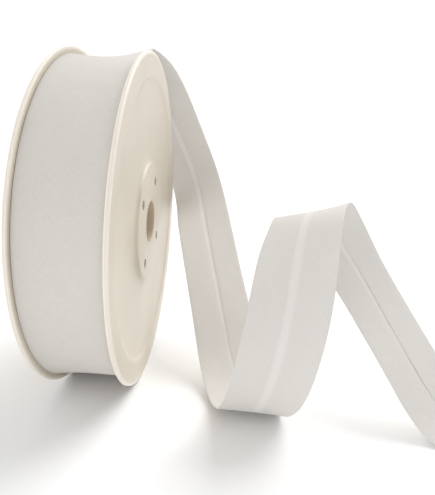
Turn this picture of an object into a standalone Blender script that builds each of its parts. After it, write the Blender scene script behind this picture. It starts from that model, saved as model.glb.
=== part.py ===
"""Roll of folded bias tape on a two-flanged plastic reel, standing on its rims.

The reel's axis runs along X. The surface it stands on is z = 0. The origin is
the middle of the flat under the near rim. Lengths are in metres.
"""
import math

import bmesh
import bpy
import numpy as np
from mathutils import Vector

MM = 0.001

# Reel
FLANGE_R = 75.0 * MM
FLANGE_T = 1.8 * MM
RIM_EDGE_R = 0.55 * MM
RIM_SOFTEN = 0.16 * MM
HUB_R = 27.3 * MM
REST_FLAT = 0.2 * MM
REEL_GAP = 31.66 * MM
BARREL_R = 29.4 * MM
BARREL_WALL = 1.4 * MM
BORE_R = 9.65 * MM
BORE_WALL = 1.5 * MM
CLIP_HOLE_R = 2.25 * MM
CLIP_RING_R = 20.6 * MM
CLIP_HOLES_DEG = (61.0, 151.0, 241.0, 331.0)

# Tape
TAPE_W = 30.0 * MM
SHEET_T = 1.0 * MM
ROLL_R = 71.3 * MM
ROLL_W = 31.0 * MM
STEP_DEG = -14.0
LIFT_DEG = -9.0

# Fit between pieces
GAP = 0.3 * MM
ROUND_STEPS = 96
HOLE_STEPS = 20
SHEET_STEPS = 150
SHEET_ACROSS = 6
SHARP_DEG = 40.0

AXIS_Z = FLANGE_R - REST_FLAT
NEAR_FACE = 0.5 * FLANGE_T
NEAR_INNER = -0.5 * FLANGE_T
FAR_INNER = NEAR_INNER - REEL_GAP
FAR_FACE = FAR_INNER - FLANGE_T
ROLL_MID = 0.5 * (NEAR_INNER + FAR_INNER)

PLASTIC = (0.80, 0.72, 0.62, 1.0)
COTTON = (0.72, 0.69, 0.64, 1.0)

# Outer face of a flange between its rim band and its hub disc, in millimetres.
WEB_SECTION = [
    # radius, depth
    (64.5, 0.0),
    (63.0, 0.25),
    (58.5, 0.8),
    (50.0, 1.0),
    (34.0, 0.95),
    (28.6, 0.5),
    (27.3, 0.0),
]

# Centre of the loose tape, one row per fold or run, in millimetres.
# swing and rise turn the strip's right-hand edge back and up, in degrees.
TAIL_SECTIONS = [
    # x, y, z, swing, rise
    (-16.7, -4.0, 146.3, 0.0, 2.0),
    (-16.9, 5.0, 148.1, 0.0, 9.0),
    (-17.6, 14.0, 149.2, -3.0, 17.0),
    (-17.5, 25.0, 149.5, -5.0, 21.0),
    (-16.2, 37.0, 149.3, -6.0, 21.0),
    (-13.1, 51.0, 146.8, -6.0, 20.0),
    (-8.2, 64.0, 138.5, -4.0, 21.0),
    (-2.2, 74.5, 125.0, 1.0, 23.0),
    (4.6, 80.5, 109.5, 3.0, 24.0),
    (11.4, 82.6, 94.5, 1.0, 24.0),
    (16.9, 74.5, 81.5, 1.0, 22.0),
    (21.5, 57.0, 70.5, 8.0, 14.0),
    (26.8, 37.5, 57.5, 13.0, 7.0),
    (32.3, 21.0, 43.0, 16.0, 5.0),
    (38.3, 5.5, 26.0, 13.0, 6.0),
    (43.8, -9.0, 10.5, 12.0, 5.0),
    (47.8, -21.0, 4.0, 12.0, 0.0),
    (50.1, -29.0, 2.9, 12.0, -2.0),
    (51.8, -36.5, 3.5, 11.0, -7.0),
    (53.8, -45.5, 7.6, 10.0, -8.0),
    (56.4, -54.5, 17.0, 7.0, -8.0),
    (59.6, -60.0, 34.5, 2.0, -9.0),
    (62.5, -58.0, 54.0, -5.0, -6.0),
    (65.0, -49.0, 72.0, -17.0, 2.0),
    (67.8, -38.5, 84.3, -29.0, 12.0),
    (73.4, -22.6, 87.3, -23.2, 21.4),
    (75.1, -19.6, 85.9, -21.6, 27.2),
    (82.9, -11.3, 77.8, 7.1, 32.9),
    (90.3, -8.5, 69.8, 22.4, 17.1),
    (101.3, -9.3, 55.1, 32.5, 17.6),
    (121.8, -28.3, 24.2, 39.0, 19.9),
    (137.1, -39.7, 6.4, 44.1, 19.8),
    (148.8, -45.5, 1.5, 58.0, 8.0),
    (162.8, -50.5, 0.5, 72.0, 0.0),
    (184.8, -56.5, 0.5, 75.0, 0.0),
]


def clear_scene():
    """Remove every object that is already in the file."""
    for item in list(bpy.data.objects):
        bpy.data.objects.remove(item, do_unlink=True)


def plain_material(name, colour, roughness):
    """A one-colour Principled material."""
    material = bpy.data.materials.new(name)
    material.use_nodes = True
    shader = material.node_tree.nodes["Principled BSDF"]
    shader.inputs["Base Color"].default_value = colour
    shader.inputs["Roughness"].default_value = roughness
    material.diffuse_color = colour
    return material


def add_object(name, mesh_data, material):
    """Turn a bmesh into a named object with its own material."""
    bmesh.ops.recalc_face_normals(mesh_data, faces=mesh_data.faces)
    mesh = bpy.data.meshes.new(name)
    mesh_data.to_mesh(mesh)
    mesh_data.free()
    mesh.materials.append(material)
    mesh.shade_smooth()
    mesh.set_sharp_from_angle(angle=math.radians(SHARP_DEG))
    item = bpy.data.objects.new(name, mesh)
    bpy.context.scene.collection.objects.link(item)
    return item


def turned(profile):
    """Turn a closed list of (x, radius) points about the reel's axis."""
    body = bmesh.new()
    rings = []
    for step in range(ROUND_STEPS):
        angle = 2.0 * math.pi * step / ROUND_STEPS
        ring = []
        for x, radius in profile:
            y = radius * math.sin(angle)
            z = AXIS_Z + radius * math.cos(angle)
            ring.append(body.verts.new((x, y, max(z, 0.0))))
        rings.append(ring)
    count = len(profile)
    for step in range(ROUND_STEPS):
        here = rings[step]
        there = rings[(step + 1) % ROUND_STEPS]
        for point in range(count):
            nxt = (point + 1) % count
            body.faces.new((here[point], here[nxt], there[nxt], there[point]))
    return body


def flange_profile(face, inner):
    """Outline of a flange: flat inside, rounded rim, dished web, flush hub."""
    outward = 1.0 if face > inner else -1.0
    edge = outward * RIM_EDGE_R
    soften = outward * RIM_SOFTEN
    hole_r = BORE_R + BORE_WALL + GAP
    outline = [
        (inner, hole_r),
        (inner, FLANGE_R - RIM_EDGE_R),
        (inner + soften, FLANGE_R - RIM_SOFTEN),
        (inner + edge, FLANGE_R),
        (face - edge, FLANGE_R),
        (face - soften, FLANGE_R - RIM_SOFTEN),
        (face, FLANGE_R - RIM_EDGE_R),
    ]
    for radius, depth in WEB_SECTION:
        outline.append((face - outward * depth * MM, radius * MM))
    outline.append((face, hole_r))
    return outline


def clip_hole_rod(mid_x, degrees):
    """A rod that cuts one small clip hole through a flange."""
    rod = bmesh.new()
    bmesh.ops.create_cone(
        rod,
        cap_ends=True,
        segments=HOLE_STEPS,
        radius1=CLIP_HOLE_R,
        radius2=CLIP_HOLE_R,
        depth=2.0 * FLANGE_T,
    )
    angle = math.radians(degrees)
    mid_y = CLIP_RING_R * math.cos(angle)
    mid_z = AXIS_Z + CLIP_RING_R * math.sin(angle)
    for vert in rod.verts:
        vert.co = Vector((mid_x + vert.co.z, mid_y + vert.co.x, mid_z + vert.co.y))
    bmesh.ops.recalc_face_normals(rod, faces=rod.faces)
    mesh = bpy.data.meshes.new("clip_hole_rod")
    rod.to_mesh(mesh)
    rod.free()
    cutter = bpy.data.objects.new("clip_hole_rod", mesh)
    cutter.hide_render = True
    cutter.display_type = "WIRE"
    bpy.context.scene.collection.objects.link(cutter)
    return cutter


def cut_clip_holes(flange, mid_x):
    """Cut the ring of small clip holes in a flange's hub."""
    for degrees in CLIP_HOLES_DEG:
        cutter = clip_hole_rod(mid_x, degrees)
        cut = flange.modifiers.new("clip_hole", "BOOLEAN")
        cut.operation = "DIFFERENCE"
        cut.solver = "EXACT"
        cut.object = cutter
        bpy.context.view_layer.update()
        graph = bpy.context.evaluated_depsgraph_get()
        cut_mesh = bpy.data.meshes.new_from_object(flange.evaluated_get(graph))
        flange.modifiers.remove(cut)
        flange.data = cut_mesh
        bpy.data.objects.remove(cutter, do_unlink=True)


def tube_profile(x_low, x_high, inner_r, outer_r):
    """Outline of a plain tube."""
    return [(x_low, inner_r), (x_high, inner_r), (x_high, outer_r), (x_low, outer_r)]


def roll_point(angle, radius):
    """The two side corners of the roll at an angle and a radius."""
    y = radius * math.sin(angle)
    z = AXIS_Z + radius * math.cos(angle)
    half = 0.5 * ROLL_W
    return (ROLL_MID - half, y, z), (ROLL_MID + half, y, z)


def wound_roll():
    """The wound tape: its outside creeps out by one layer a turn, to a step."""
    body = bmesh.new()
    inner_r = BARREL_R + GAP
    low_r = ROLL_R - SHEET_T - GAP
    inner = []
    outer = []
    for step in range(ROUND_STEPS):
        turn = step / ROUND_STEPS
        angle = math.radians(STEP_DEG) + 2.0 * math.pi * turn
        outer_r = low_r + (ROLL_R - low_r) * turn
        inner.append([body.verts.new(corner) for corner in roll_point(angle, inner_r)])
        outer.append([body.verts.new(corner) for corner in roll_point(angle, outer_r)])
    lip = [body.verts.new(corner) for corner in roll_point(math.radians(STEP_DEG), ROLL_R)]
    for step in range(ROUND_STEPS):
        nxt = (step + 1) % ROUND_STEPS
        last = nxt == 0
        ahead = lip if last else outer[nxt]
        body.faces.new((inner[step][0], inner[step][1], inner[nxt][1], inner[nxt][0]))
        body.faces.new((outer[step][1], outer[step][0], ahead[0], ahead[1]))
        for side in (0, 1):
            loop = [inner[step][side], outer[step][side], ahead[side]]
            if last:
                loop.append(outer[0][side])
            loop.append(inner[nxt][side])
            body.faces.new(loop)
    body.faces.new((lip[0], lip[1], outer[0][1], outer[0][0]))
    return body


def natural_spline(knots, values, at):
    """Smooth curve through rows of values, straight at both ends."""
    knots = np.asarray(knots, float)
    values = np.asarray(values, float)
    count = len(knots)
    span = np.diff(knots)
    matrix = np.zeros((count, count))
    right = np.zeros(values.shape)
    matrix[0, 0] = 1.0
    matrix[-1, -1] = 1.0
    for row in range(1, count - 1):
        matrix[row, row - 1] = span[row - 1]
        matrix[row, row] = 2.0 * (span[row - 1] + span[row])
        matrix[row, row + 1] = span[row]
        rise_after = (values[row + 1] - values[row]) / span[row]
        rise_before = (values[row] - values[row - 1]) / span[row - 1]
        right[row] = 6.0 * (rise_after - rise_before)
    bend = np.linalg.solve(matrix, right)
    piece = np.clip(np.searchsorted(knots, at, side="right") - 1, 0, count - 2)
    width = span[piece][:, None]
    after = (at - knots[piece])[:, None]
    before = width - after
    curve = (bend[piece] * before ** 3 + bend[piece + 1] * after ** 3) / (6.0 * width)
    curve += (values[piece] / width - bend[piece] * width / 6.0) * before
    curve += (values[piece + 1] / width - bend[piece + 1] * width / 6.0) * after
    return curve


def tail_rows():
    """Centre points and width directions of the loose tape, in order."""
    centres = []
    across = []
    lie_r = ROLL_R - 0.5 * SHEET_T
    start_deg = STEP_DEG + math.degrees(GAP / lie_r)
    for degrees in (start_deg, 0.5 * (start_deg + LIFT_DEG), LIFT_DEG):
        angle = math.radians(degrees)
        centres.append((ROLL_MID, lie_r * math.sin(angle), AXIS_Z + lie_r * math.cos(angle)))
        across.append((1.0, 0.0, 0.0))
    for x, y, z, swing, rise in TAIL_SECTIONS:
        turn = math.radians(swing)
        lift = math.radians(rise)
        level = math.cos(lift)
        centres.append((x * MM, y * MM, z * MM))
        across.append((level * math.cos(turn), level * math.sin(turn), math.sin(lift)))
    return np.array(centres), np.array(across)


def unit(rows):
    """Rows scaled to length one."""
    return rows / np.linalg.norm(rows, axis=1)[:, None]


def loose_tail():
    """The loose tape as one closed sheet that follows its sections."""
    centres, across = tail_rows()
    steps = np.linalg.norm(np.diff(centres, axis=0), axis=1)
    knots = np.concatenate([[0.0], np.cumsum(steps)])
    at = np.linspace(0.0, knots[-1], SHEET_STEPS + 1)
    middle = natural_spline(knots, centres, at)
    along = unit(np.gradient(middle, axis=0))
    wide = natural_spline(knots, across, at)
    wide = unit(wide - np.sum(wide * along, axis=1)[:, None] * along)
    outward = unit(np.cross(wide, along))
    half_w = 0.5 * TAPE_W
    half_t = 0.5 * SHEET_T
    shares = np.linspace(-1.0, 1.0, SHEET_ACROSS + 1)
    body = bmesh.new()
    rings = []
    for row in range(len(at)):
        ring = []
        for side, order in ((1.0, shares), (-1.0, shares[::-1])):
            lowest = SHEET_T if side * outward[row][2] > 0.0 else 0.0
            for share in order:
                point = middle[row] + share * half_w * wide[row] + side * half_t * outward[row]
                point[2] = max(point[2], lowest)
                ring.append(body.verts.new(point))
        rings.append(ring)
    count = len(rings[0])
    for here, there in zip(rings[:-1], rings[1:]):
        for point in range(count):
            nxt = (point + 1) % count
            body.faces.new((here[point], here[nxt], there[nxt], there[point]))
    body.faces.new(rings[0])
    body.faces.new(rings[-1])
    return body


clear_scene()

near = add_object(
    "reel_flange_near",
    turned(flange_profile(NEAR_FACE, NEAR_INNER)),
    plain_material("near_flange_plastic", PLASTIC, 0.4),
)
cut_clip_holes(near, 0.5 * (NEAR_FACE + NEAR_INNER))

far = add_object(
    "reel_flange_far",
    turned(flange_profile(FAR_FACE, FAR_INNER)),
    plain_material("far_flange_plastic", PLASTIC, 0.4),
)
cut_clip_holes(far, 0.5 * (FAR_FACE + FAR_INNER))

add_object(
    "reel_barrel",
    turned(tube_profile(FAR_INNER + GAP, NEAR_INNER - GAP, BARREL_R - BARREL_WALL, BARREL_R)),
    plain_material("barrel_plastic", PLASTIC, 0.4),
)
add_object(
    "reel_bore_tube",
    turned(tube_profile(FAR_FACE, NEAR_FACE, BORE_R, BORE_R + BORE_WALL)),
    plain_material("bore_tube_plastic", PLASTIC, 0.4),
)
add_object("tape_roll", wound_roll(), plain_material("roll_cotton", COTTON, 0.9))
add_object("tape_tail", loose_tail(), plain_material("tail_cotton", COTTON, 0.9))
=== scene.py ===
"""Roll of folded bias tape on a cream plastic reel, with its loose end looped forward.

The file goes the way the article is put together: studio, reel, wound tape, loose tape.
"""
import math

import bmesh
import bpy
import numpy as np
from mathutils import Matrix, Vector


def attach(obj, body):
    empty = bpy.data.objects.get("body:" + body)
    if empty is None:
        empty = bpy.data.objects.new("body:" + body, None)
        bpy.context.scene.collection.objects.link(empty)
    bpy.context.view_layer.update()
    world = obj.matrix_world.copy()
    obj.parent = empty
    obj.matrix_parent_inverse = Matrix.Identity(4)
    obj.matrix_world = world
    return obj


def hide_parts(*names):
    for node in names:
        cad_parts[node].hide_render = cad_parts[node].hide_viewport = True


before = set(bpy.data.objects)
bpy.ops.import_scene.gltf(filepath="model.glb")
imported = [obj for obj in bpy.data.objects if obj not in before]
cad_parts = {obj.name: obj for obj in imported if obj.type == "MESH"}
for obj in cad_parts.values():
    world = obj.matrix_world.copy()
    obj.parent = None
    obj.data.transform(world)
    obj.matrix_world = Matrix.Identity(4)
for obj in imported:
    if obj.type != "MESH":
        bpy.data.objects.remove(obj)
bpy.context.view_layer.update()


# Camera
# A close look at the wound tape from a little above and to the right, so that the near
# flange shows at a slant. The camera leans slightly to one side.
camera_place = (0.04136, -0.22532, 0.11453)
camera_heading_deg = 2.052
camera_drop_deg = 12.492
camera_lean_deg = 3.677
camera = bpy.data.objects.new("camera", bpy.data.cameras.new("camera"))
camera.data.sensor_width = 36.0
camera.data.lens = 35.41
camera.data.clip_start = 0.01
camera.data.clip_end = 20.0
camera.matrix_world = (
    Matrix.Translation(camera_place)
    @ Matrix.Rotation(math.radians(camera_heading_deg), 4, "Z")
    @ Matrix.Rotation(math.radians(90.0 - camera_drop_deg), 4, "X")
    @ Matrix.Rotation(math.radians(camera_lean_deg), 4, "Z")
)
bpy.context.scene.collection.objects.link(camera)
bpy.context.scene.camera = camera


# Studio
# A white table that runs out of sight in a bright room, a little dimmer overhead and
# much dimmer on the right, with one broad soft light high up behind and to the right.
def studio_floor():
    """The white table as a wide round sheet with its middle under the article."""
    table = bmesh.new()
    bmesh.ops.create_circle(table, cap_ends=True, segments=64, radius=12.0)
    mesh = bpy.data.meshes.new("studio_floor")
    table.to_mesh(mesh)
    table.free()
    return bpy.data.objects.new("studio_floor", mesh)


floor = studio_floor()
bpy.context.scene.collection.objects.link(floor)
floor_paper = bpy.data.materials.new("floor_paper")
floor_paper.use_nodes = True
paper = floor_paper.node_tree.nodes["Principled BSDF"]
paper.inputs["Base Color"].default_value = (0.95, 0.95, 0.95, 1.0)
paper.inputs["Roughness"].default_value = 0.9
paper.inputs["Specular IOR Level"].default_value = 0.1
floor.data.materials.append(floor_paper)


def ramp(tree, source, marks, levels):
    """A smooth step between two levels as a value passes from one mark to another."""
    node = tree.nodes.new("ShaderNodeMapRange")
    node.interpolation_type = "SMOOTHSTEP"
    node.inputs["From Min"].default_value = marks[0]
    node.inputs["From Max"].default_value = marks[1]
    node.inputs["To Min"].default_value = levels[0]
    node.inputs["To Max"].default_value = levels[1]
    tree.links.new(source, node.inputs["Value"])
    return node.outputs["Result"]


room = bpy.data.worlds.new("room")
room.use_nodes = True
room_tree = room.node_tree
room_place = room_tree.nodes.new("ShaderNodeTexCoord")
room_parts = room_tree.nodes.new("ShaderNodeSeparateXYZ")
room_level = room_tree.nodes.new("ShaderNodeMath")
room_level.operation = "MULTIPLY"
room_tree.links.new(room_place.outputs["Generated"], room_parts.inputs["Vector"])
overhead = ramp(room_tree, room_parts.outputs["Z"], (0.28, 0.95), (1.04, 0.82))
right_side = ramp(room_tree, room_parts.outputs["X"], (0.40, 0.90), (1.0, 0.15))
room_tree.links.new(overhead, room_level.inputs[0])
room_tree.links.new(right_side, room_level.inputs[1])
room_light = room_tree.nodes["Background"]
room_tree.links.new(room_level.outputs["Value"], room_light.inputs["Strength"])
room_light.inputs["Color"].default_value = (1.0, 1.0, 1.0, 1.0)
bpy.context.scene.world = room

window = bpy.data.lights.new("window", "SUN")
window.energy = 1.83
window.angle = math.radians(45.0)
window_item = bpy.data.objects.new("window", window)
window_item.rotation_mode = "QUATERNION"
window_item.rotation_quaternion = Vector((-0.50, -0.55, -0.85)).to_track_quat("-Z", "Y")
bpy.context.scene.collection.objects.link(window_item)
bpy.context.scene.view_settings.view_transform = "Standard"


# Reel flanges
# The reel's two cream plastic discs, moulded with a rounded rim, a dished web and a
# flush hub, and pressed onto the bore tube.
class Wire:
    """An output socket that is used in sums: each sum adds its Math node."""

    def __init__(self, bench, socket):
        self.bench = bench
        self.socket = socket

    def maths(self, operation, *values):
        return self.bench.add("ShaderNodeMath", {"operation": operation}, dict(enumerate(values)))

    def __add__(self, other):
        return self.maths("ADD", self, other)

    def __radd__(self, other):
        return self.maths("ADD", other, self)

    def __sub__(self, other):
        return self.maths("SUBTRACT", self, other)

    def __rsub__(self, other):
        return self.maths("SUBTRACT", other, self)

    def __mul__(self, other):
        return self.maths("MULTIPLY", self, other)

    def __truediv__(self, other):
        return self.maths("DIVIDE", self, other)

    def between(self, low, high):
        """0 below low, 1 above high, smooth from one to the other."""
        return self.bench.add(
            "ShaderNodeMapRange",
            {"interpolation_type": "SMOOTHSTEP"},
            {"Value": self, "From Min": low, "From Max": high},
        )


class Bench:
    """A node tree that is being put together."""

    def __init__(self, tree):
        self.tree = tree

    def add(self, kind, settings=None, values=None, out=0):
        """Add a node: its settings first, then the values or wires of its sockets."""
        node = self.tree.nodes.new(kind)
        for name, value in (settings or {}).items():
            setattr(node, name, value)
        for key, value in (values or {}).items():
            if isinstance(value, Wire):
                self.tree.links.new(value.socket, node.inputs[key])
            else:
                node.inputs[key].default_value = value
        return Wire(self, node.outputs[out])

    def parts(self, vector):
        """The three numbers of a vector wire."""
        first = self.add("ShaderNodeSeparateXYZ", None, {"Vector": vector})
        node = first.socket.node
        return [Wire(self, socket) for socket in node.outputs]


class Former(Bench):
    """A geometry tree with named inputs, run on a mesh to make a piece."""

    def __init__(self, name, sizes):
        tree = bpy.data.node_groups.new(name, "GeometryNodeTree")
        super().__init__(tree)
        tree.interface.new_socket("Line", in_out="INPUT", socket_type="NodeSocketGeometry")
        self.keys = {}
        for label, kind in sizes.items():
            made = tree.interface.new_socket(label, in_out="INPUT", socket_type="NodeSocket" + kind)
            self.keys[label] = made.identifier
        tree.interface.new_socket("Piece", in_out="OUTPUT", socket_type="NodeSocketGeometry")
        self.inputs = tree.nodes.new("NodeGroupInput")
        self.line = Wire(self, self.inputs.outputs["Line"])

    def size(self, label):
        return Wire(self, self.inputs.outputs[label])

    def value_at(self, carrier, kind, value, index):
        """A value of another mesh's point, by its number."""
        return self.add(
            "GeometryNodeSampleIndex",
            {"data_type": kind, "domain": "POINT"},
            {"Geometry": carrier, "Value": value, "Index": index},
        )

    def named(self, kind, name):
        return self.add("GeometryNodeInputNamedAttribute", {"data_type": kind}, {"Name": name})

    def at_points(self, value):
        """A vector worked out at the mesh's points, for use at its corners."""
        return self.add(
            "GeometryNodeFieldOnDomain",
            {"data_type": "FLOAT_VECTOR", "domain": "POINT"},
            {"Value": value},
        )

    def finish(self, wire):
        """Realize the instances, give the material and end the tree."""
        real = self.add("GeometryNodeRealizeInstances", None, {"Geometry": wire})
        dressed = self.add(
            "GeometryNodeSetMaterial", None, {"Geometry": real, "Material": self.size("Material")}
        )
        end = self.tree.nodes.new("NodeGroupOutput")
        self.tree.links.new(dressed.socket, end.inputs[0])

    def run(self, name, start, sizes):
        """Run the tree on a mesh and return the result as a plain object."""
        item = bpy.data.objects.new(name, start)
        bpy.context.scene.collection.objects.link(item)
        step = item.modifiers.new("form", "NODES")
        step.node_group = self.tree
        for label, value in sizes.items():
            step[self.keys[label]] = value
        graph = bpy.context.evaluated_depsgraph_get()
        made = bpy.data.meshes.new_from_object(item.evaluated_get(graph))
        item.modifiers.remove(step)
        made.name = name
        item.data = made
        made.validate()
        return item


def line_mesh(name, points, **values):
    """A row of loose points with named numbers or vectors on them."""
    mesh = bpy.data.meshes.new(name)
    mesh.from_pydata([tuple(point) for point in points], [], [])
    for label, rows in values.items():
        rows = np.asarray(rows, np.float32)
        kind, field = ("FLOAT", "value") if rows.ndim == 1 else ("FLOAT_VECTOR", "vector")
        mesh.attributes.new(label, kind, "POINT").data.foreach_set(field, rows.ravel())
    return mesh


# Sizes are in metres. A table in millimetres says so.
mm = 0.001
weld_distance = 0.000002
flange_r = 0.0750
axis_z = 0.0748
bore_r = 0.00965
bore_wall = 0.0015
hub_clearance = 0.0001
near_face = 0.0009
near_inner = -0.0009
far_inner = -0.03256
far_face = -0.03436

# Outside of a flange from the hub's hole to the rim, in millimetres.
flange_section = [
    # radius, depth under the face
    (11.45, 0.12),
    (11.62, 0.0),
    (26.5, 0.0),
    (26.9, 0.06),
    (27.15, 0.22),
    (27.4, 0.6),
    (27.8, 1.1),
    (28.6, 1.45),
    (30.5, 1.72),
    (34.0, 1.86),
    (39.0, 1.88),
    (44.0, 1.8),
    (49.0, 1.7),
    (54.0, 1.55),
    (58.0, 1.38),
    (61.0, 1.13),
    (62.7, 0.86),
    (63.7, 0.56),
    (64.4, 0.22),
    (64.8, 0.05),
    (65.3, 0.0),
    (70.0, 0.0),
    (73.0, 0.0),
]
web_t = 0.0005
hub_chamfer = 0.00012
# depth, height of each rounding
rim_outer_round = (0.00065, 0.0016)
rim_inner_round = (0.0004, 0.0004)
rim_round_steps = 8
parting_half = 0.0001
parting_depth = 0.00016
clip_holes = 4
clip_hole_r = 0.00225
clip_ring_r = 0.0206
clip_first_deg = 61.0


def quarter_round(face, outward, size, order):
    """Points of the rounding between a flange's face and its rim."""
    deep, high = size
    points = []
    for step in range(rim_round_steps + 1)[::order]:
        turn = 0.5 * math.pi * step / rim_round_steps
        points.append((
            face - outward * deep * (1.0 - math.cos(turn)),
            flange_r - high + high * math.sin(turn),
        ))
    return points


def flange_outline(face, inner):
    """Closed outline of a flange as (x, radius) points, with the mould's line on its rim."""
    outward = 1.0 if face > inner else -1.0
    hole_r = bore_r + bore_wall + hub_clearance
    seam = 0.5 * (inner + face)
    outline = [(inner, hole_r)]
    for radius, depth in flange_section:
        back = max(abs(face - inner), mm * depth + web_t)
        outline.append((face - outward * back, max(mm * radius, hole_r)))
    outline += quarter_round(inner, -outward, rim_inner_round, 1)
    outline.append((seam - outward * parting_half, flange_r))
    outline.append((seam, flange_r - parting_depth))
    outline.append((seam + outward * parting_half, flange_r))
    outline += quarter_round(face, outward, rim_outer_round, -1)
    for radius, depth in reversed(flange_section):
        outline.append((face - outward * depth * mm, radius * mm))
    outline.append((face - outward * hub_chamfer, hole_r))
    outline.append(outline[0])
    return outline


def turned_former():
    """Turns an outline about the reel's axis and cuts a ring of small holes."""
    former = Former("turned_plastic", {
        "Steps around": "Int",
        "Axis height": "Float",
        "Holes": "Int",
        "Hole radius": "Float",
        "Hole ring radius": "Float",
        "Hole ring angle": "Float",
        "Material": "Material",
    })
    steps = former.size("Steps around")
    count = former.add("GeometryNodeAttributeDomainSize", None, {"Geometry": former.line})
    grid = former.add(
        "GeometryNodeMeshGrid", None, {"Vertices X": count, "Vertices Y": steps + 1.0}
    )
    index = former.add("GeometryNodeInputIndex")
    row = former.add("ShaderNodeMath", {"operation": "FLOOR"}, {0: (index + 0.5) / (steps + 1.0)})
    turn = (index - row * (steps + 1.0)) / steps
    point = former.value_at(
        former.line, "FLOAT_VECTOR", former.add("GeometryNodeInputPosition"), row
    )
    x, radius, unused = former.parts(point)
    angle = turn * (2.0 * math.pi)
    sine = former.add("ShaderNodeMath", {"operation": "SINE"}, {0: angle})
    cosine = former.add("ShaderNodeMath", {"operation": "COSINE"}, {0: angle})
    height = former.size("Axis height") + radius * cosine
    resting = former.add("ShaderNodeMath", {"operation": "MAXIMUM"}, {0: height, 1: 0.0})
    place = former.add("ShaderNodeCombineXYZ", None, {"X": x, "Y": radius * sine, "Z": resting})
    formed = former.add("GeometryNodeSetPosition", None, {"Geometry": grid, "Position": place})
    closed = former.add(
        "GeometryNodeMergeByDistance", None, {"Geometry": formed, "Distance": weld_distance}
    )
    ring = former.add(
        "GeometryNodeMeshCircle",
        None,
        {"Vertices": former.size("Holes"), "Radius": former.size("Hole ring radius")},
    )
    spin = former.add("ShaderNodeCombineXYZ", None, {"Z": former.size("Hole ring angle")})
    spun = former.add("GeometryNodeTransform", None, {"Geometry": ring, "Rotation": spin})
    lift = former.add("ShaderNodeCombineXYZ", None, {"Z": former.size("Axis height")})
    stood = former.add(
        "GeometryNodeTransform",
        None,
        {"Geometry": spun, "Translation": lift, "Rotation": (0.0, math.pi / 2.0, 0.0)},
    )
    rod = former.add(
        "GeometryNodeMeshCylinder",
        None,
        {"Vertices": 28, "Radius": former.size("Hole radius"), "Depth": 0.2},
    )
    rods = former.add(
        "GeometryNodeInstanceOnPoints",
        None,
        {"Points": stood, "Instance": rod, "Rotation": (0.0, math.pi / 2.0, 0.0)},
    )
    real_rods = former.add("GeometryNodeRealizeInstances", None, {"Geometry": rods})
    drilled = former.add(
        "GeometryNodeMeshBoolean",
        {"operation": "DIFFERENCE", "solver": "EXACT"},
        {"Mesh 1": closed, "Mesh 2": real_rods},
    )
    wanted = former.add(
        "FunctionNodeCompare",
        {"data_type": "INT", "operation": "GREATER_THAN"},
        {2: former.size("Holes"), 3: 0},
    )
    chosen = former.add(
        "GeometryNodeSwitch",
        {"input_type": "GEOMETRY"},
        {"Switch": wanted, "False": closed, "True": drilled},
    )
    former.finish(chosen)
    return former


def smooth_but_for_edges(item, degrees):
    """Shade a mesh smooth and keep its edges sharper than an angle crisp."""
    item.data.shade_smooth()
    item.data.set_sharp_from_angle(angle=math.radians(degrees))


def moulded_plastic(name, colour, shade, bore_painted_shade, rim):
    """Satin moulded plastic: faint cloudiness, flow marks round the axis and fine grain, with
    painted shade that darkens the bore's wall and a painted highlight that lightens the rim."""
    material = bpy.data.materials.new(name)
    material.use_nodes = True
    bench = Bench(material.node_tree)
    shader = material.node_tree.nodes["Principled BSDF"]
    place = bench.add("ShaderNodeTexCoord", out=3)
    x, y, z = bench.parts(place)
    height = z - axis_z
    radius = bench.add("ShaderNodeMath", {"operation": "SQRT"}, {0: y * y + height * height})
    cloud = bench.add("ShaderNodeTexNoise", None, {"Vector": place, "Scale": 26.0, "Detail": 3.0})
    rings = bench.add(
        "ShaderNodeTexNoise",
        {"noise_dimensions": "1D"},
        {"W": radius, "Scale": 900.0, "Detail": 2.0},
    )
    grain = bench.add("ShaderNodeTexNoise", None, {"Vector": place, "Scale": 2600.0, "Detail": 2.0})
    tone = bench.add(
        "ShaderNodeMix",
        {"data_type": "RGBA"},
        {0: cloud.between(0.3, 0.7) * 0.7 + rings * 0.3, 6: shade, 7: colour},
        out=2,
    )
    # painted shade: the wall of the bore is darkened, standing in for the shade deep in the tube
    outside = radius.between(bore_r + 0.0001, bore_r + 0.0004)
    tone = bench.add(
        "ShaderNodeMix", {"data_type": "RGBA"}, {0: outside, 6: bore_painted_shade, 7: tone}, out=2
    )
    # painted highlight: the rim's band is lightened, standing in for the light that catches it and
    # comes through its thin edge
    edge = radius.between(flange_r - 0.0018, flange_r - 0.0005)
    tone = bench.add("ShaderNodeMix", {"data_type": "RGBA"}, {0: edge, 6: tone, 7: rim}, out=2)
    material.node_tree.links.new(tone.socket, shader.inputs["Base Color"])
    rough = 0.30 + cloud * 0.08 + grain * 0.06
    material.node_tree.links.new(rough.socket, shader.inputs["Roughness"])
    bumps = rings * 0.35 + grain * 0.2 + cloud * 2.0
    relief = bench.add(
        "ShaderNodeBump", None, {"Strength": 0.25, "Distance": 0.00012, "Height": bumps}
    )
    material.node_tree.links.new(relief.socket, shader.inputs["Normal"])
    shader.inputs["Specular IOR Level"].default_value = 0.5
    shader.inputs["Subsurface Weight"].default_value = 0.12
    shader.inputs["Subsurface Radius"].default_value = (1.0, 0.8, 0.55)
    shader.inputs["Subsurface Scale"].default_value = 0.0015
    return material


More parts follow.
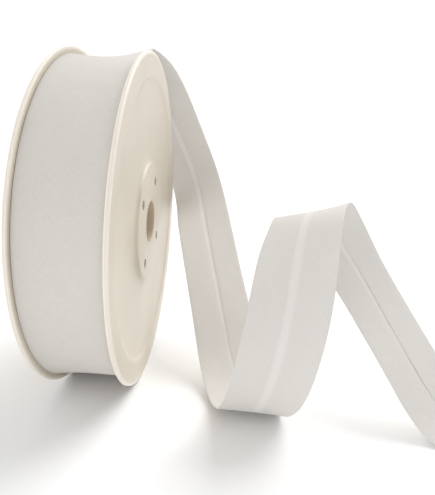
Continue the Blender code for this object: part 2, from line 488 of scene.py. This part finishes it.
reel_plastic = moulded_plastic(
    "reel_plastic",
    colour=(0.700, 0.632, 0.528, 1.0),
    shade=(0.630, 0.562, 0.460, 1.0),
    bore_painted_shade=(0.54, 0.44, 0.32, 1.0),
    rim=(0.88, 0.82, 0.73, 1.0),
)
turned = turned_former()
for name, face, inner in (
    ("flange_near", near_face, near_inner),
    ("flange_far", far_face, far_inner),
):
    outline = flange_outline(face, inner)
    flange = turned.run(
        name,
        line_mesh(name + "_line", [(x, radius, 0.0) for x, radius in outline]),
        {
            "Steps around": 240,
            "Axis height": axis_z,
            "Holes": clip_holes,
            "Hole radius": clip_hole_r,
            "Hole ring radius": clip_ring_r,
            "Hole ring angle": math.radians(clip_first_deg),
            "Material": reel_plastic,
        },
    )
    smooth_but_for_edges(flange, 32.0)
    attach(flange, "root")
    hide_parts("reel_" + name)


# Bore tube and barrel
# The tube that the reel turns on, with eased mouths, and the drum that the tape is wound
# on. Both are moulded in the flanges' plastic.
barrel_inner_r = 0.0280
barrel_r = 0.0294
barrel_gap = 0.0003
mouth = 0.0003
mouth_mid = 0.00008
bevel = 0.0001
bore_draft = 0.00008
bore_outline = [
    (far_face + mouth, bore_r),
    (0.5 * (far_face + near_face), bore_r - bore_draft),
    (near_face - mouth, bore_r),
    (near_face - bevel, bore_r + mouth_mid),
    (near_face, bore_r + mouth),
    (near_face, bore_r + bore_wall - bevel),
    (near_face - bevel, bore_r + bore_wall),
    (far_face + bevel, bore_r + bore_wall),
    (far_face, bore_r + bore_wall - bevel),
    (far_face, bore_r + mouth),
    (far_face + bevel, bore_r + mouth_mid),
    (far_face + mouth, bore_r),
]
barrel_outline = [
    (far_inner + barrel_gap, barrel_inner_r),
    (near_inner - barrel_gap, barrel_inner_r),
    (near_inner - barrel_gap, barrel_r),
    (far_inner + barrel_gap, barrel_r),
    (far_inner + barrel_gap, barrel_inner_r),
]
for name, outline in (("bore_tube", bore_outline), ("barrel", barrel_outline)):
    tube = turned.run(
        name,
        line_mesh(name + "_line", [(x, radius, 0.0) for x, radius in outline]),
        {"Steps around": 144, "Axis height": axis_z, "Holes": 0, "Material": reel_plastic},
    )
    smooth_but_for_edges(tube, 32.0)
    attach(tube, "root")
    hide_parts("reel_" + name)


# Wound tape
# About twenty-five metres of folded cotton tape, each turn laid on the last with its
# outer face out. The turns' folded edges show as fine ridges at the sides.
tape_w = 0.0300
roll_w = 0.0315
layer_t = 0.00028
layer_out = 0.00031
roll_mid = 0.5 * (near_inner + far_inner)
lie_r = 0.0709
step_deg = -14.0
lift_deg = -9.0
far_rise = 0.0012
fold_steps = 6
thread_pitch = 0.00042

# Folded edge of one turn at the roll's side.
ridge_pitch = 0.0013
ridge_section = [
    # depth in metres, share of the pitch
    (0.00028, 0.0),
    (0.00005, 0.4),
    (0.00007, 0.7),
]


def woven_cotton(name):
    """Plain cotton cut on the bias: both threads run at 45 degrees to the tape."""
    material = bpy.data.materials.new(name)
    material.use_nodes = True
    bench = Bench(material.node_tree)
    shader = material.node_tree.nodes["Principled BSDF"]
    cloth = bench.add("ShaderNodeUVMap", {"uv_map": "cloth"})
    across, along, unused = bench.parts(cloth)
    bias = math.sqrt(0.5)
    warp = (across + along) * bias
    weft = (across - along) * bias
    threads = []
    slubs = []
    for line, side, fine, long, seed in (
        (warp, weft, 1900.0, 95.0, 3.0), (weft, warp, 1600.0, 140.0, 11.0)
    ):
        turns = line * (2.0 * math.pi / thread_pitch)
        threads.append(bench.add("ShaderNodeMath", {"operation": "SINE"}, {0: turns}))
        drawn = bench.add(
            "ShaderNodeCombineXYZ", None, {"X": line * fine, "Y": side * long, "Z": seed}
        )
        slubs.append(
            bench.add("ShaderNodeTexNoise", None, {"Vector": drawn, "Scale": 1.0, "Detail": 2.0})
        )
    weave = threads[0] * threads[1]
    spread = bench.add("ShaderNodeCombineXYZ", None, {"X": across, "Y": along, "Z": 0.0})
    cloud = bench.add("ShaderNodeTexNoise", None, {"Vector": spread, "Scale": 38.0, "Detail": 3.0})
    fuzz = bench.add("ShaderNodeTexNoise", None, {"Vector": spread, "Scale": 900.0, "Detail": 3.0})
    crease = bench.add("ShaderNodeTexNoise", None, {"Vector": spread, "Scale": 75.0, "Detail": 2.0})
    streak = slubs[0] * 0.4 + slubs[1] * 0.28 + fuzz * 0.32
    # painted light: down the middle of the free end, between the flaps, the cloth is one layer
    # thick, and it is lightened there to stand in for the light that comes through it
    middle = bench.add("ShaderNodeMath", {"operation": "ABSOLUTE"}, {0: across})
    slit_painted_light = (1.0 - middle.between(0.0007, 0.0023)) * along.between(0.03, 0.09)
    slit_painted_light = slit_painted_light * (0.50 - along.between(0.20, 0.32) * 0.18 + along.between(0.40, 0.44) * 0.18)
    # painted light: the free end is only two layers thick, and it is lightened to stand in for the
    # light that comes through it, which the many-layered roll keeps out
    end_painted_light = along.between(0.0, 0.03) * 0.28
    mottle = streak.between(0.35, 0.65) * 0.6 + cloud * 0.4
    base = bench.add(
        "ShaderNodeMix",
        {"data_type": "RGBA"},
        {0: mottle, 6: (0.652, 0.625, 0.588, 1.0), 7: (0.716, 0.688, 0.650, 1.0)},
        out=2,
    )
    # both painted lights mix a lighter colour into the cloth's own
    lit = bench.add(
        "ShaderNodeMix",
        {"data_type": "RGBA"},
        {0: end_painted_light + slit_painted_light, 6: base, 7: (0.86, 0.84, 0.81, 1.0)},
        out=2,
    )
    material.node_tree.links.new(lit.socket, shader.inputs["Base Color"])
    rough = 0.82 + streak * 0.12
    material.node_tree.links.new(rough.socket, shader.inputs["Roughness"])
    bumps = weave * 0.35 + streak * 0.9 + crease * 7.0
    relief = bench.add(
        "ShaderNodeBump", None, {"Strength": 0.5, "Distance": 0.00010, "Height": bumps}
    )
    material.node_tree.links.new(relief.socket, shader.inputs["Normal"])
    shader.inputs["Specular IOR Level"].default_value = 0.2
    shader.inputs["Sheen Weight"].default_value = 0.15
    shader.inputs["Sheen Roughness"].default_value = 0.4
    return material


def far_side_rise(share):
    """How far the turns stand up towards the far flange, -1 to 1 across the roll."""
    return far_rise * max(0.0, (-0.1 - share) / 0.9) ** 1.6


def roll_outline():
    """Outline of the wound tape: (x, radius, share of the outside's creep), and cloth place."""
    rows = []
    outer_r = lie_r + layer_out
    half = 0.5 * roll_w
    edge = layer_out
    inner_r = barrel_r + 0.0003
    for side, order in ((-1.0, 1), (1.0, -1)):
        ridges = []
        radius = inner_r
        top_r = outer_r + far_side_rise(side)
        while radius < outer_r - 2.0 * edge - ridge_pitch:
            # the turns lie narrower where the flanges dish inwards
            sunk = 0.0008 * min(1.0, (outer_r - radius) / 0.010)
            for depth, share in ridge_section:
                ridges.append((half - depth - sunk, radius + share * ridge_pitch, 0.0))
            radius += ridge_pitch
        ridges.append((half - 0.00010, top_r - 2.0 * edge, 1.0))
        for step in range(1, fold_steps + 1):
            turn = math.pi * (step / fold_steps) - 0.5 * math.pi
            ridges.append((
                half - edge + edge * math.cos(turn), top_r - edge + edge * math.sin(turn), 1.0
            ))
        part = [(roll_mid + side * x, r, w, side * x) for x, r, w in ridges]
        rows += part[::order]
        if side < 0:
            for share in np.linspace(-1.0, 1.0, 29)[1:-1]:
                x = share * (half - edge)
                rows.append((roll_mid + x, outer_r + far_side_rise(share), 1.0, x))
    rows.append(rows[0])
    return rows


def roll_former():
    """Winds an outline once round the axis, creeping out by one layer to its step."""
    former = Former("wound_tape", {
        "Steps around": "Int",
        "Axis height": "Float",
        "Start angle": "Float",
        "Creep": "Float",
        "Unevenness": "Float",
        "Arc radius": "Float",
        "Material": "Material",
    })
    steps = former.size("Steps around")
    columns = steps + 2.0
    count = former.add("GeometryNodeAttributeDomainSize", None, {"Geometry": former.line})
    grid = former.add("GeometryNodeMeshGrid", None, {"Vertices X": count, "Vertices Y": columns})
    index = former.add("GeometryNodeInputIndex")
    row = former.add("ShaderNodeMath", {"operation": "FLOOR"}, {0: (index + 0.5) / columns})
    column = index - row * columns
    wound = former.add("ShaderNodeMath", {"operation": "MINIMUM"}, {0: column, 1: steps}) / steps
    last = former.add("ShaderNodeMath", {"operation": "GREATER_THAN"}, {0: column, 1: steps + 0.5})
    out = wound * (1.0 - last)
    point = former.value_at(
        former.line, "FLOAT_VECTOR", former.add("GeometryNodeInputPosition"), row
    )
    x, radius, share = former.parts(point)
    angle = wound * (2.0 * math.pi) + former.size("Start angle")
    sine = former.add("ShaderNodeMath", {"operation": "SINE"}, {0: angle})
    cosine = former.add("ShaderNodeMath", {"operation": "COSINE"}, {0: angle})
    round_place = former.add(
        "ShaderNodeCombineXYZ", None, {"X": x * 40.0, "Y": sine * 2.2, "Z": cosine * 2.2}
    )
    uneven = former.add(
        "ShaderNodeTexNoise", None, {"Vector": round_place, "Scale": 1.6, "Detail": 1.0}
    )
    lie = radius - share * former.size("Creep") * (1.0 - out)
    lie = lie + share * former.size("Unevenness") * (uneven - 0.5)
    place = former.add(
        "ShaderNodeCombineXYZ",
        None,
        {"X": x, "Y": lie * sine, "Z": former.size("Axis height") + lie * cosine},
    )
    formed = former.add("GeometryNodeSetPosition", None, {"Geometry": grid, "Position": place})
    over = former.value_at(former.line, "FLOAT", former.named("FLOAT", "over"), row)
    cloth = former.add(
        "ShaderNodeCombineXYZ",
        None,
        {"X": over, "Y": (wound - 1.0) * (2.0 * math.pi) * former.size("Arc radius"), "Z": 0.0},
    )
    cloth = former.at_points(cloth)
    laid = former.add(
        "GeometryNodeStoreNamedAttribute",
        {"data_type": "FLOAT2", "domain": "CORNER"},
        {"Geometry": formed, "Name": "cloth", "Value": cloth},
    )
    closed = former.add(
        "GeometryNodeMergeByDistance", None, {"Geometry": laid, "Distance": weld_distance}
    )
    former.finish(closed)
    return former


tape_cotton = woven_cotton("tape_cotton")
rows = roll_outline()
roll = roll_former().run(
    "wound_tape",
    line_mesh("roll_line", [row[:3] for row in rows], over=[row[3] for row in rows]),
    {
        "Steps around": 360,
        "Axis height": axis_z,
        "Start angle": math.radians(step_deg),
        "Creep": 0.00066,
        "Unevenness": 0.00016,
        "Arc radius": lie_r,
        "Material": tape_cotton,
    },
)
smooth_but_for_edges(roll, 40.0)
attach(roll, "root")
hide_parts("tape_roll")


# Loose tape
# The free end of the same tape: a bias strip pressed into two flaps that nearly meet
# behind its face. It leaves the roll at the top, drops behind the reel, bends up again
# just above the table, makes an arch and comes down to the table on the right.
# The table has 35 stations along its centre, in millimetres. Swing and rise turn the
# strip's right-hand edge back and up, in degrees.
tail_sections = [
    # x, y, z, swing, rise
    (-16.7, -4.0, 146.3, 0.0, 2.0),
    (-16.9, 5.0, 148.1, 0.0, 9.0),
    (-17.6, 14.0, 149.2, -3.0, 17.0),
    (-17.5, 25.0, 149.5, -5.0, 21.0),
    (-16.2, 37.0, 149.3, -6.0, 21.0),
    (-13.1, 51.0, 146.8, -6.0, 20.0),
    (-8.2, 64.0, 138.5, -4.0, 21.0),
    (-2.2, 74.5, 125.0, 1.0, 23.0),
    (4.6, 80.5, 109.5, 3.0, 24.0),
    (11.4, 82.6, 94.5, 1.0, 24.0),
    (16.9, 74.5, 81.5, 1.0, 22.0),
    (21.5, 57.0, 70.5, 8.0, 14.0),
    (26.8, 37.5, 57.5, 13.0, 7.0),
    (32.3, 21.0, 43.0, 16.0, 5.0),
    (38.3, 5.5, 26.0, 13.0, 6.0),
    (43.8, -9.0, 10.5, 12.0, 5.0),
    (47.8, -21.0, 4.0, 12.0, 0.0),
    (50.1, -29.0, 2.9, 12.0, -2.0),
    (51.8, -36.5, 3.5, 11.0, -7.0),
    (53.8, -45.5, 7.6, 10.0, -8.0),
    (56.4, -54.5, 17.0, 7.0, -8.0),
    (59.6, -60.0, 34.5, 2.0, -9.0),
    (62.5, -58.0, 54.0, -5.0, -6.0),
    (65.0, -49.0, 72.0, -17.0, 2.0),
    (67.8, -38.5, 84.3, -29.0, 12.0),
    (73.4, -22.6, 87.3, -23.2, 21.4),
    (75.1, -19.6, 85.9, -21.6, 27.2),
    (82.9, -11.3, 77.8, 7.1, 32.9),
    (90.3, -8.5, 69.8, 22.4, 17.1),
    (101.3, -9.3, 55.1, 32.5, 17.6),
    (121.8, -28.3, 24.2, 39.0, 19.9),
    (137.1, -39.7, 6.4, 44.1, 19.8),
    (148.8, -45.5, 1.5, 58.0, 8.0),
    (162.8, -50.5, 0.5, 72.0, 0.0),
    (184.8, -56.5, 0.5, 75.0, 0.0),
]

# Width of the slit between the two flaps.
slit_sections = [
    # share of the loose length, millimetres
    (0.0, 2.4),
    (0.16, 3.8),
    (0.25, 3.2),
    (0.44, 2.0),
    (0.62, 2.6),
    (0.74, 2.8),
    (0.79, 2.2),
    (0.83, 1.2),
    (0.86, 0.4),
    (1.0, 0.25),
]
mean_slit = 0.0024
tail_points = 401
leave_deg = 0.25
tuck_steps = 12
tuck_deg = 16.0
tuck_dip = 0.00032
# the solid strip's half thickness, which is more than the folded cloth's
solid_half_t = 0.0005
settle_height = 0.004
seated_over = 0.02
freed_from = 0.03
freed_over = 0.04
curl_share = 0.03
sharpest_bend = 110.0
bend_window = 15


def natural_spline(knots, values, at):
    """Smooth curve through rows of values, straight at both ends."""
    knots = np.asarray(knots, float)
    values = np.asarray(values, float)
    count = len(knots)
    span = np.diff(knots)
    matrix = np.zeros((count, count))
    right = np.zeros(values.shape)
    matrix[0, 0] = 1.0
    matrix[-1, -1] = 1.0
    for row in range(1, count - 1):
        matrix[row, row - 1] = span[row - 1]
        matrix[row, row] = 2.0 * (span[row - 1] + span[row])
        matrix[row, row + 1] = span[row]
        rise_after = (values[row + 1] - values[row]) / span[row]
        rise_before = (values[row] - values[row - 1]) / span[row - 1]
        right[row] = 6.0 * (rise_after - rise_before)
    bend = np.linalg.solve(matrix, right)
    piece = np.clip(np.searchsorted(knots, at, side="right") - 1, 0, count - 2)
    width = span[piece][:, None]
    after = (at - knots[piece])[:, None]
    before = width - after
    curve = (bend[piece] * before ** 3 + bend[piece + 1] * after ** 3) / (6.0 * width)
    curve += (values[piece] / width - bend[piece] * width / 6.0) * before
    curve += (values[piece + 1] / width - bend[piece + 1] * width / 6.0) * after
    return curve


def unit(rows):
    """Rows scaled to length one."""
    return rows / np.linalg.norm(rows, axis=1)[:, None]


def tail_line():
    """Centre of the loose tape in close steps, with its width and outer directions."""
    centres = []
    across = []
    for degrees in (step_deg + leave_deg, 0.5 * (step_deg + leave_deg + lift_deg), lift_deg):
        angle = math.radians(degrees)
        centres.append((roll_mid, lie_r * math.sin(angle), axis_z + lie_r * math.cos(angle)))
        across.append((1.0, 0.0, 0.0))
    for x, y, z, swing, rise in tail_sections:
        turn = math.radians(swing)
        lift = math.radians(rise)
        centres.append((mm * x, mm * y, mm * z))
        across.append((
            math.cos(lift) * math.cos(turn), math.cos(lift) * math.sin(turn), math.sin(lift)
        ))
    centres = np.array(centres)
    across = np.array(across)
    steps = np.linalg.norm(np.diff(centres, axis=0), axis=1)
    knots = np.concatenate([[0.0], np.cumsum(steps)])
    at = np.linspace(0.0, knots[-1], tail_points)
    middle = natural_spline(knots, centres, at)
    along = unit(np.gradient(middle, axis=0))
    wide = natural_spline(knots, across, at)
    wide = unit(wide - np.sum(wide * along, axis=1)[:, None] * along)
    outward = unit(np.cross(wide, along))
    walked = np.concatenate([[0.0], np.cumsum(np.linalg.norm(np.diff(middle, axis=0), axis=1))])
    start = lie_r * math.radians(leave_deg)
    # the strip's first part dips under the roll's last turn, so that the two run on
    tuck_places = []
    tuck_walked = []
    for step in range(tuck_steps):
        share = step / tuck_steps
        degrees = step_deg - tuck_deg * (1.0 - share)
        angle = math.radians(degrees)
        dip = tuck_dip * (1.0 - share)
        tuck_places.append((
            roll_mid, (lie_r - dip) * math.sin(angle), axis_z + (lie_r - dip) * math.cos(angle)
        ))
        tuck_walked.append(lie_r * math.radians(degrees - step_deg))
    tuck_out = [(0.0, place[1] / lie_r, (place[2] - axis_z) / lie_r) for place in tuck_places]
    middle = np.concatenate([tuck_places, middle])
    wide = np.concatenate([[(1.0, 0.0, 0.0)] * len(tuck_places), wide])
    outward = np.concatenate([unit(np.array(tuck_out)), outward])
    walked = np.concatenate([tuck_walked, walked + start])
    return middle, wide, outward, walked


def folded_section():
    """Closed outline of the folded tape, as an offset across, a share of the slit, an
    offset out, and the place on the flat cloth."""
    half = 0.5 * tape_w
    fold_r = layer_out - 0.5 * layer_t
    straight = half - layer_out
    line = []
    for side in (-1.0, 1.0):
        rows = []
        for share in (0.0, 0.02, 0.05, 0.1, 0.25, 0.4, 0.55, 0.7, 0.85, 1.0):
            # from the cut edge, where the slit's width counts, to the fold
            rows.append((side * share * straight, side * (1.0 - share) * 0.5, -fold_r))
        for step in range(1, fold_steps):
            turn = math.pi * step / fold_steps
            bulge = side * (straight + fold_r * math.sin(turn))
            rows.append((bulge, 0.0, -fold_r * math.cos(turn)))
        line.append(rows)
    face = [(share * straight, 0.0, fold_r) for share in np.linspace(-1.0, 1.0, 21)]
    centre = np.array(line[0] + face + line[1][::-1])
    # the flat cloth's own width, measured with a mean slit
    flat = centre[:, 0] + centre[:, 1] * mean_slit
    walk = np.concatenate([[0.0], np.cumsum(np.hypot(np.diff(flat), np.diff(centre[:, 2])))])
    walk -= 0.5 * walk[-1]
    tangent = unit(np.gradient(np.stack([flat, centre[:, 2]], 1), axis=0))
    normal = np.stack([-tangent[:, 1], tangent[:, 0]], 1)
    # the flaps' cut edges are pressed thin
    thin = np.clip(0.12 + np.abs(centre[:, 0]) / 0.0016, 0.0, 1.0)
    thin[centre[:, 2] > 0.0] = 1.0
    outer = []
    inner = []
    for row, (push_across, push_out), place, share in zip(centre, normal, walk, thin):
        half_t = 0.5 * layer_t * share
        outer.append((row[0] + half_t * push_across, row[1], row[2] + half_t * push_out, place))
        inner.append((row[0] - half_t * push_across, row[1], row[2] - half_t * push_out, place))
    loop = outer + inner[::-1]
    loop.append(loop[0])
    return loop


def tail_former():
    """Lays the folded section along the strip's line."""
    former = Former("folded_tape", {
        "Path": "Object",
        "Waver": "Float",
        "Fraying": "Float",
        "Folded height": "Float",
        "Seed": "Float",
        "Material": "Material",
    })
    path = former.add(
        "GeometryNodeObjectInfo", None, {"Object": former.size("Path")}, out="Geometry"
    )
    count = former.add("GeometryNodeAttributeDomainSize", None, {"Geometry": former.line})
    length = former.add("GeometryNodeAttributeDomainSize", None, {"Geometry": path})
    grid = former.add("GeometryNodeMeshGrid", None, {"Vertices X": count, "Vertices Y": length})
    index = former.add("GeometryNodeInputIndex")
    row = former.add("ShaderNodeMath", {"operation": "FLOOR"}, {0: (index + 0.5) / length})
    column = index - row * length
    position = former.add("GeometryNodeInputPosition")
    section = former.value_at(former.line, "FLOAT_VECTOR", position, row)
    over, share, out = former.parts(section)
    flat = former.value_at(former.line, "FLOAT", former.named("FLOAT", "flat"), row)
    middle = former.value_at(path, "FLOAT_VECTOR", position, column)
    wide = former.value_at(path, "FLOAT_VECTOR", former.named("FLOAT_VECTOR", "wide"), column)
    outward = former.named("FLOAT_VECTOR", "outward")
    outward = former.value_at(path, "FLOAT_VECTOR", outward, column)
    slit = former.value_at(path, "FLOAT", former.named("FLOAT", "slit"), column)
    free = former.value_at(path, "FLOAT", former.named("FLOAT", "free"), column)
    walked = former.value_at(path, "FLOAT", former.named("FLOAT", "walked"), column)
    seat = former.value_at(path, "FLOAT", former.named("FLOAT", "seat"), column)
    curl = former.value_at(path, "FLOAT", former.named("FLOAT", "curl"), column)
    rise = former.value_at(former.line, "FLOAT", former.named("FLOAT", "rise"), row)
    spread = former.add(
        "ShaderNodeCombineXYZ", None, {"X": flat, "Y": walked, "Z": former.size("Seed")}
    )
    fray = former.add("ShaderNodeTexNoise", None, {"Vector": spread, "Scale": 260.0, "Detail": 2.0})
    ripple = former.add(
        "ShaderNodeTexNoise", None, {"Vector": spread, "Scale": 42.0, "Detail": 1.0}
    )
    waver = former.size("Waver")
    sideways = over + share * (slit + (fray - 0.5) * former.size("Fraying"))
    lifted = out + (ripple - 0.5) * waver * free + rise * seat - curl * over * over
    moved = former.add(
        "ShaderNodeVectorMath", {"operation": "SCALE"}, {0: wide, "Scale": sideways}
    )
    pushed = former.add(
        "ShaderNodeVectorMath", {"operation": "SCALE"}, {0: outward, "Scale": lifted}
    )
    place = former.add("ShaderNodeVectorMath", {"operation": "ADD"}, {0: middle, 1: moved})
    place = former.add("ShaderNodeVectorMath", {"operation": "ADD"}, {0: place, 1: pushed})
    x, y, z = former.parts(place)
    # where the strip lies down on the table, its layers stay stacked on each other
    unused, unused, facing = former.parts(outward)
    flatness = former.add("ShaderNodeMath", {"operation": "ABSOLUTE"}, {0: facing})
    least = flatness * former.size("Folded height") + out * facing
    resting = former.add("ShaderNodeMath", {"operation": "MAXIMUM"}, {0: z, 1: least})
    place = former.add("ShaderNodeCombineXYZ", None, {"X": x, "Y": y, "Z": resting})
    formed = former.add("GeometryNodeSetPosition", None, {"Geometry": grid, "Position": place})
    cloth = former.add("ShaderNodeCombineXYZ", None, {"X": flat, "Y": walked, "Z": 0.0})
    cloth = former.at_points(cloth)
    laid = former.add(
        "GeometryNodeStoreNamedAttribute",
        {"data_type": "FLOAT2", "domain": "CORNER"},
        {"Geometry": formed, "Name": "cloth", "Value": cloth},
    )
    closed = former.add(
        "GeometryNodeMergeByDistance", None, {"Geometry": laid, "Distance": weld_distance}
    )
    former.finish(closed)
    return former


middle, wide, outward, walked = tail_line()
shares = np.clip(walked / walked[-1], 0.0, 1.0)
slit = mm * np.interp(shares, *zip(*slit_sections))
# the strip is seated on the roll where it starts, and free of it further on
free = np.clip((walked - freed_from) / freed_over, 0.0, 1.0)
seat = 1.0 - np.clip(walked / seated_over, 0.0, 1.0)
# a strip that is bent one way curls the other way across its width
bend = np.gradient(np.gradient(middle, walked, axis=0), walked, axis=0)
smoothing = np.full(bend_window, 1.0 / bend_window)
bend = np.convolve(np.sum(bend * outward, axis=1), smoothing, mode="same")
curl = curl_share * np.clip(bend, -sharpest_bend, sharpest_bend) * free
# near the table the thin cloth lies lower than the solid strip does
near_table = np.clip(1.0 - (middle[:, 2] - solid_half_t) / settle_height, 0.0, 1.0)
middle[:, 2] -= (solid_half_t - layer_out) * near_table
path = bpy.data.objects.new("tail_path", line_mesh(
    "tail_path",
    middle,
    wide=wide,
    outward=outward,
    slit=slit,
    free=free,
    walked=walked,
    seat=seat,
    curl=curl,
))
bpy.context.scene.collection.objects.link(path)
section = folded_section()
tail = tail_former().run(
    "loose_tape",
    line_mesh(
        "tail_section",
        [row[:3] for row in section],
        flat=[row[3] for row in section],
        rise=[far_side_rise(row[0] / (0.5 * tape_w)) for row in section],
    ),
    {
        "Path": path,
        "Waver": 0.0003,
        "Fraying": 0.0009,
        "Folded height": layer_out,
        "Seed": 5.0,
        "Material": tape_cotton,
    },
)
bpy.data.objects.remove(path, do_unlink=True)

closing = bmesh.new()
closing.from_mesh(tail.data)
bmesh.ops.holes_fill(closing, edges=[edge for edge in closing.edges if edge.is_boundary])
bmesh.ops.recalc_face_normals(closing, faces=closing.faces)
closing.to_mesh(tail.data)
closing.free()
smooth_but_for_edges(tail, 50.0)
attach(tail, "root")
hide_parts("tape_tail")
